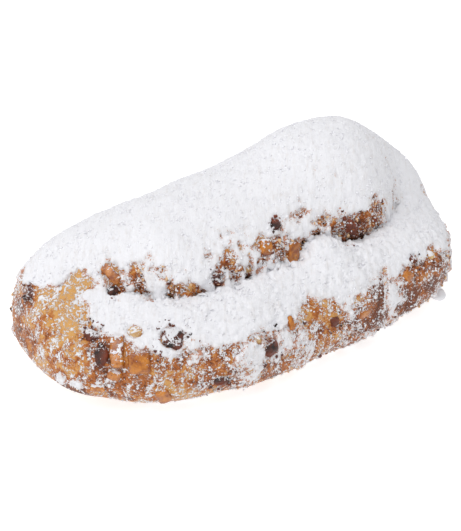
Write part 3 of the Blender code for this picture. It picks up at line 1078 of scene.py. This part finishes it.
# %% A clot of sugar that clings to the foot of the far end
CLOT_PLACE = (90.1, -40.9, 4.8)
CLOT_HALF = (3.8, 3.0, 2.8)


def clot_mesh():
    """A round lump, made uneven and set in its place."""
    shaping = bmesh.new()
    bmesh.ops.create_icosphere(shaping, subdivisions=4, radius=1.0)
    for vertex in shaping.verts:
        vertex.co *= 1 + 0.3 * float(rough(np.array([vertex.co]), 1.1, 71)[0])
        vertex.co = Vector(vertex.co) * Vector(CLOT_HALF) + Vector(CLOT_PLACE)
        vertex.co *= MM
    mesh = bpy.data.meshes.new("sugar_clot")
    shaping.to_mesh(mesh)
    shaping.free()
    mesh.shade_smooth()
    mesh.materials.append(loose_sugar)
    return mesh


clot = new_object("sugar_clot", clot_mesh())
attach(clot, "root")
print("the clot has", len(clot.data.polygons), "faces")

# %% [markdown]
# ## Fruit and nuts
#
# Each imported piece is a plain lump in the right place. A copy of its mesh is merged, subdivided and given
# its real surface: a raisin shrivels into sharp folds, candied peel keeps its cut faces with a glossy,
# see-through look, and a chopped almond is smooth with a few broken edges. Sugar settles on what faces up.


# %% Dust on fruit
def dusted(colour, place):
    """The colour with its piece's share of sugar, thicker where it faces up, and the sugar's mask."""
    tree = place.tree
    normal = add_node(tree, "ShaderNodeNewGeometry", output="Normal")
    up = add_node(tree, "ShaderNodeSeparateXYZ", values={"Vector": normal}, output="Z")
    specks = noise(place, 0.9, detail=3, roughness=0.6) + noise(place, 2.6, detail=2) * 0.9
    mask = (specks * 0.9 + up * 0.8 + attribute(tree, "sugared") - 0.6).rise(0.0, 0.16)
    return mix(mask * 0.95, colour, SUGAR_WHITE), mask


def raisin_finish():
    finish, tree, shader, place = start_finish("raisin")
    tone = noise(place, 5.0, detail=2)
    colour = mix((tone * 1.5 + 0.5).clamped(), srgb(26, 15, 13), srgb(128, 56, 28))
    colour, mask = dusted(colour, place)
    plug(shader, "Base Color", colour)
    plug(shader, "Roughness", mask * 0.5 + 0.32)
    folds = noise(place, 1.1, detail=3, roughness=0.6, twist=1.2).size()
    plug(shader, "Normal", raised(folds * 0.5 + mask * 0.15, 0.8))
    return finish


def peel_finish():
    finish, tree, shader, place = start_finish(
        "candied_peel", Coat_Roughness=0.15,
        Subsurface_Weight=0.12, Subsurface_Radius=(1.0, 0.6, 0.2), Subsurface_Scale=1.0 * MM,
    )
    tone = noise(place, 4.0, detail=3, roughness=0.6)
    colour = mix((tone * 1.8 + 0.5).clamped(), srgb(200, 126, 40), srgb(136, 66, 14))
    colour, mask = dusted(colour, place)
    plug(shader, "Base Color", colour)
    plug(shader, "Roughness", mask * 0.5 + 0.22)
    plug(shader, "Coat Weight", (1.0 - mask) * 0.5)
    plug(shader, "Normal", raised(noise(place, 1.8, detail=3) * 0.5 + mask * 0.15, 0.9))
    return finish


def almond_finish():
    finish, tree, shader, place = start_finish("almond")
    tone = noise(place, 3.0, detail=3, roughness=0.6)
    colour = mix((tone * 1.4 + 0.4).clamped(), srgb(218, 186, 134), srgb(176, 128, 76))
    colour, mask = dusted(colour, place)
    plug(shader, "Base Color", colour)
    plug(shader, "Roughness", mask * 0.35 + 0.5)
    plug(shader, "Normal", raised(noise(place, 0.9, detail=3) * 0.3 + mask * 0.15, 0.8))
    return finish


# %% Surfaces of the pieces
LEVELS = 2  # how often a piece is subdivided


def merged_copy(node, name):
    """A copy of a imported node's mesh with its loose triangles joined."""
    shape = bmesh.new()
    shape.from_mesh(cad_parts[node].data)
    bmesh.ops.remove_doubles(shape, verts=shape.verts, dist=0.02 * MM)
    mesh = bpy.data.meshes.new(name)
    shape.to_mesh(mesh)
    shape.free()
    return mesh


def detailed(node, height_at):
    """The node's form, subdivided and pushed along its normals by a height in millimetres."""
    piece = new_object(node + "_piece", merged_copy(node, node + "_piece"))
    piece.data.materials.clear()
    smooth = piece.modifiers.new("smooth", "SUBSURF")
    smooth.levels = LEVELS
    smooth.render_levels = LEVELS
    mesh = plain_mesh(piece, piece.name)
    piece.modifiers.remove(smooth)
    piece.data = mesh
    places = np.empty(len(mesh.vertices) * 3)
    mesh.vertices.foreach_get("co", places)
    places = places.reshape(-1, 3)
    normals = np.empty(len(mesh.vertices) * 3)
    mesh.vertices.foreach_get("normal", normals)
    moved = places + normals.reshape(-1, 3) * (height_at(places / MM) * MM)[:, None]
    mesh.vertices.foreach_set("co", moved.ravel())
    mesh.update()
    mesh.shade_smooth()
    return piece


def raisin_height(places):
    """Sharp folds on a lump that shrank unevenly."""
    folds = 1 - 2 * np.abs(rough(places, (2.2, 1.8, 2.0), 31)) + 0.4 * rough(places, 1.0, 32)
    return 0.45 * folds + 1.4 * rough(places, 4.0, 36) - 0.1


def peel_height(places):
    """Slightly uneven cut faces."""
    return 0.28 * rough(places, 2.4, 33) + 0.12 * rough(places, 1.0, 34) + 0.15


def almond_height(places):
    """Broken faces, smoother than peel."""
    return 0.22 * rough(places, 2.0, 35) + 0.1


KINDS = {
    "raisin": (raisin_finish(), raisin_height, "raisin"),
    "peel": (peel_finish(), peel_height, "candied_peel"),
    "almond": (almond_finish(), almond_height, "almond"),
}

# %% The pieces
# How much sugar lies on a piece, from -0.5 for hardly any to 0.5 for half hidden. The others get theirs
# by chance.
SUGARED = {
    "raisin_01": 0.1,
    "raisin_02": 0.0,
    "raisin_03": -0.2,
    "raisin_04": -0.1,
    "raisin_05": 0.3,
    "raisin_06": 0.2,
    "raisin_07": 0.3,
    "raisin_09": -0.3,
    "raisin_11": 0.1,
    "raisin_12": 0.3,
    "peel_04": -0.1,
    "peel_08": 0.0,
    "peel_09": -0.1,
    "almond_01": -0.05,
}
for number, node in enumerate(fruit_nodes):
    finish, height_at, slot = KINDS[node.split("_")[0]]
    piece = detailed(node, height_at)
    by_chance = 0.3 * math.sin(number * 12.9)
    store(piece.data, "sugared", np.full(len(piece.data.vertices), SUGARED.get(node, by_chance)))
    piece.data.materials.append(finish)
    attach(piece, "root")
    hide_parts(node)
print(len(fruit_nodes), "pieces of fruit and nuts set in the crust")

# %% [markdown]
# ## Bits of fruit and crumbs of crust
#
# Where the dough tore and where the sugar gives out, broken bits of raisin and peel and crumbs of crust
# stick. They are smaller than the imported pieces, so they are scattered, few in number, each bit with a few
# flat faces.

# %% Bits
RAISIN_BIT_SIZES = {"Least size": 0.8, "Most size": 3.2, "Density": 0.022}
PEEL_BIT_SIZES = {"Least size": 1.2, "Most size": 4.0, "Density": 0.008}
FLECK_SIZES = {"Least size": 0.5, "Most size": 2.2, "Density": 0.22}
CRUMB_SIZES = {"Least size": 0.6, "Most size": 2.2, "Density": 0.08}


def torn_or_edge(tree):
    """1 in the torn dough, and half that where the coat thins out."""
    cover = stored(tree, "cover")
    edge = cover.rise(-0.8, -0.1) * (1.0 - cover.rise(0.0, 0.35))
    return (stored(tree, "torn") * (1.0 - cover.rise(0.2, 0.7)) + edge * 0.5).clamped()


def round_raisins(tree):
    """1 just outside a raisin, where its skin crumbled."""
    return stored(tree, "crumbly")


BITS = (
    ("raisin_flecks", FLECK_SIZES, round_raisins, 1.0, 31, KINDS["raisin"][0], "raisin"),
    ("raisin_bits", RAISIN_BIT_SIZES, torn_or_edge, 0.3, 41, KINDS["raisin"][0], "raisin"),
    ("peel_bits", PEEL_BIT_SIZES, torn_or_edge, 0.3, 51, KINDS["peel"][0], "candied_peel"),
    ("crust_crumbs", CRUMB_SIZES, torn_or_edge, 0.4, 61, bpy.data.materials["crust"], "crust"),
)
for name, sizes, wanted, lift, seed, finish, slot in BITS:
    bits = grow(name, scatter_tree(name, sizes, wanted, lift, seed, finish), sizes)
    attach(bits, "root")

# %% [markdown]
# ## Floor and light
#
# A plain pale floor that glows a little, under an even sky, stands in for a white table in a light tent. A
# large soft lamp hangs overhead, and a second one at the near end's side gives the coat its slight shading.


# %% Floor
FLOOR_HALF = 6.0  # metres from the loaf to the floor's edges
FLOOR_DROP = 0.1 * MM  # the floor lies just below the loaf's base, so that the two don't flicker
FLOOR_GREY = (0.55, 0.55, 0.55, 1.0)
WHITE = (1.0, 1.0, 1.0, 1.0)


def add_floor():
    corners = [(x * FLOOR_HALF, y * FLOOR_HALF, 0) for x, y in ((-1, -1), (1, -1), (1, 1), (-1, 1))]
    mesh = bpy.data.meshes.new("floor")
    mesh.from_pydata(corners, [], [(0, 1, 2, 3)])
    mesh.materials.append(start_finish(
        "floor", Roughness=0.9, Base_Color=FLOOR_GREY, Emission_Color=WHITE, Emission_Strength=0.75,
    )[0])
    floor = new_object("floor", mesh)
    floor.location.z = -FLOOR_DROP
    floor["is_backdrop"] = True
    print("floor of", 2 * FLOOR_HALF, "metres")


add_floor()


# %% Light
def add_lamp(name, around, above, away, size, power):
    """A square soft lamp that looks at the loaf."""
    lamp = bpy.data.objects.new(name, bpy.data.lights.new(name, "AREA"))
    lamp.data.size = size
    lamp.data.energy = power
    towards = direction_of(around, above)
    lamp.location = towards * away
    lamp.rotation_euler = towards.to_track_quat("Z", "Y").to_euler()
    bpy.context.scene.collection.objects.link(lamp)


def add_sky(strength):
    """An even white glow from all round."""
    world = bpy.data.worlds.new("light tent")
    world.use_nodes = True
    background = world.node_tree.nodes["Background"]
    background.inputs["Color"].default_value = WHITE
    background.inputs["Strength"].default_value = strength
    bpy.context.scene.world = world


add_sky(0.5)
add_lamp("overhead lamp", around=-40, above=78, away=1.4, size=1.3, power=9.0)
add_lamp("left lamp", around=-88, above=42, away=1.6, size=1.0, power=7.2)
bpy.context.scene.view_settings.view_transform = "Standard"
print("lamps:", [light.name for light in bpy.data.lights if "lamp" in light.name])

# %% Sizes, and the end
sizes = {"cad": [list(corner) for corner in cad_box], "visual": [list(corner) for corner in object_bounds()]}
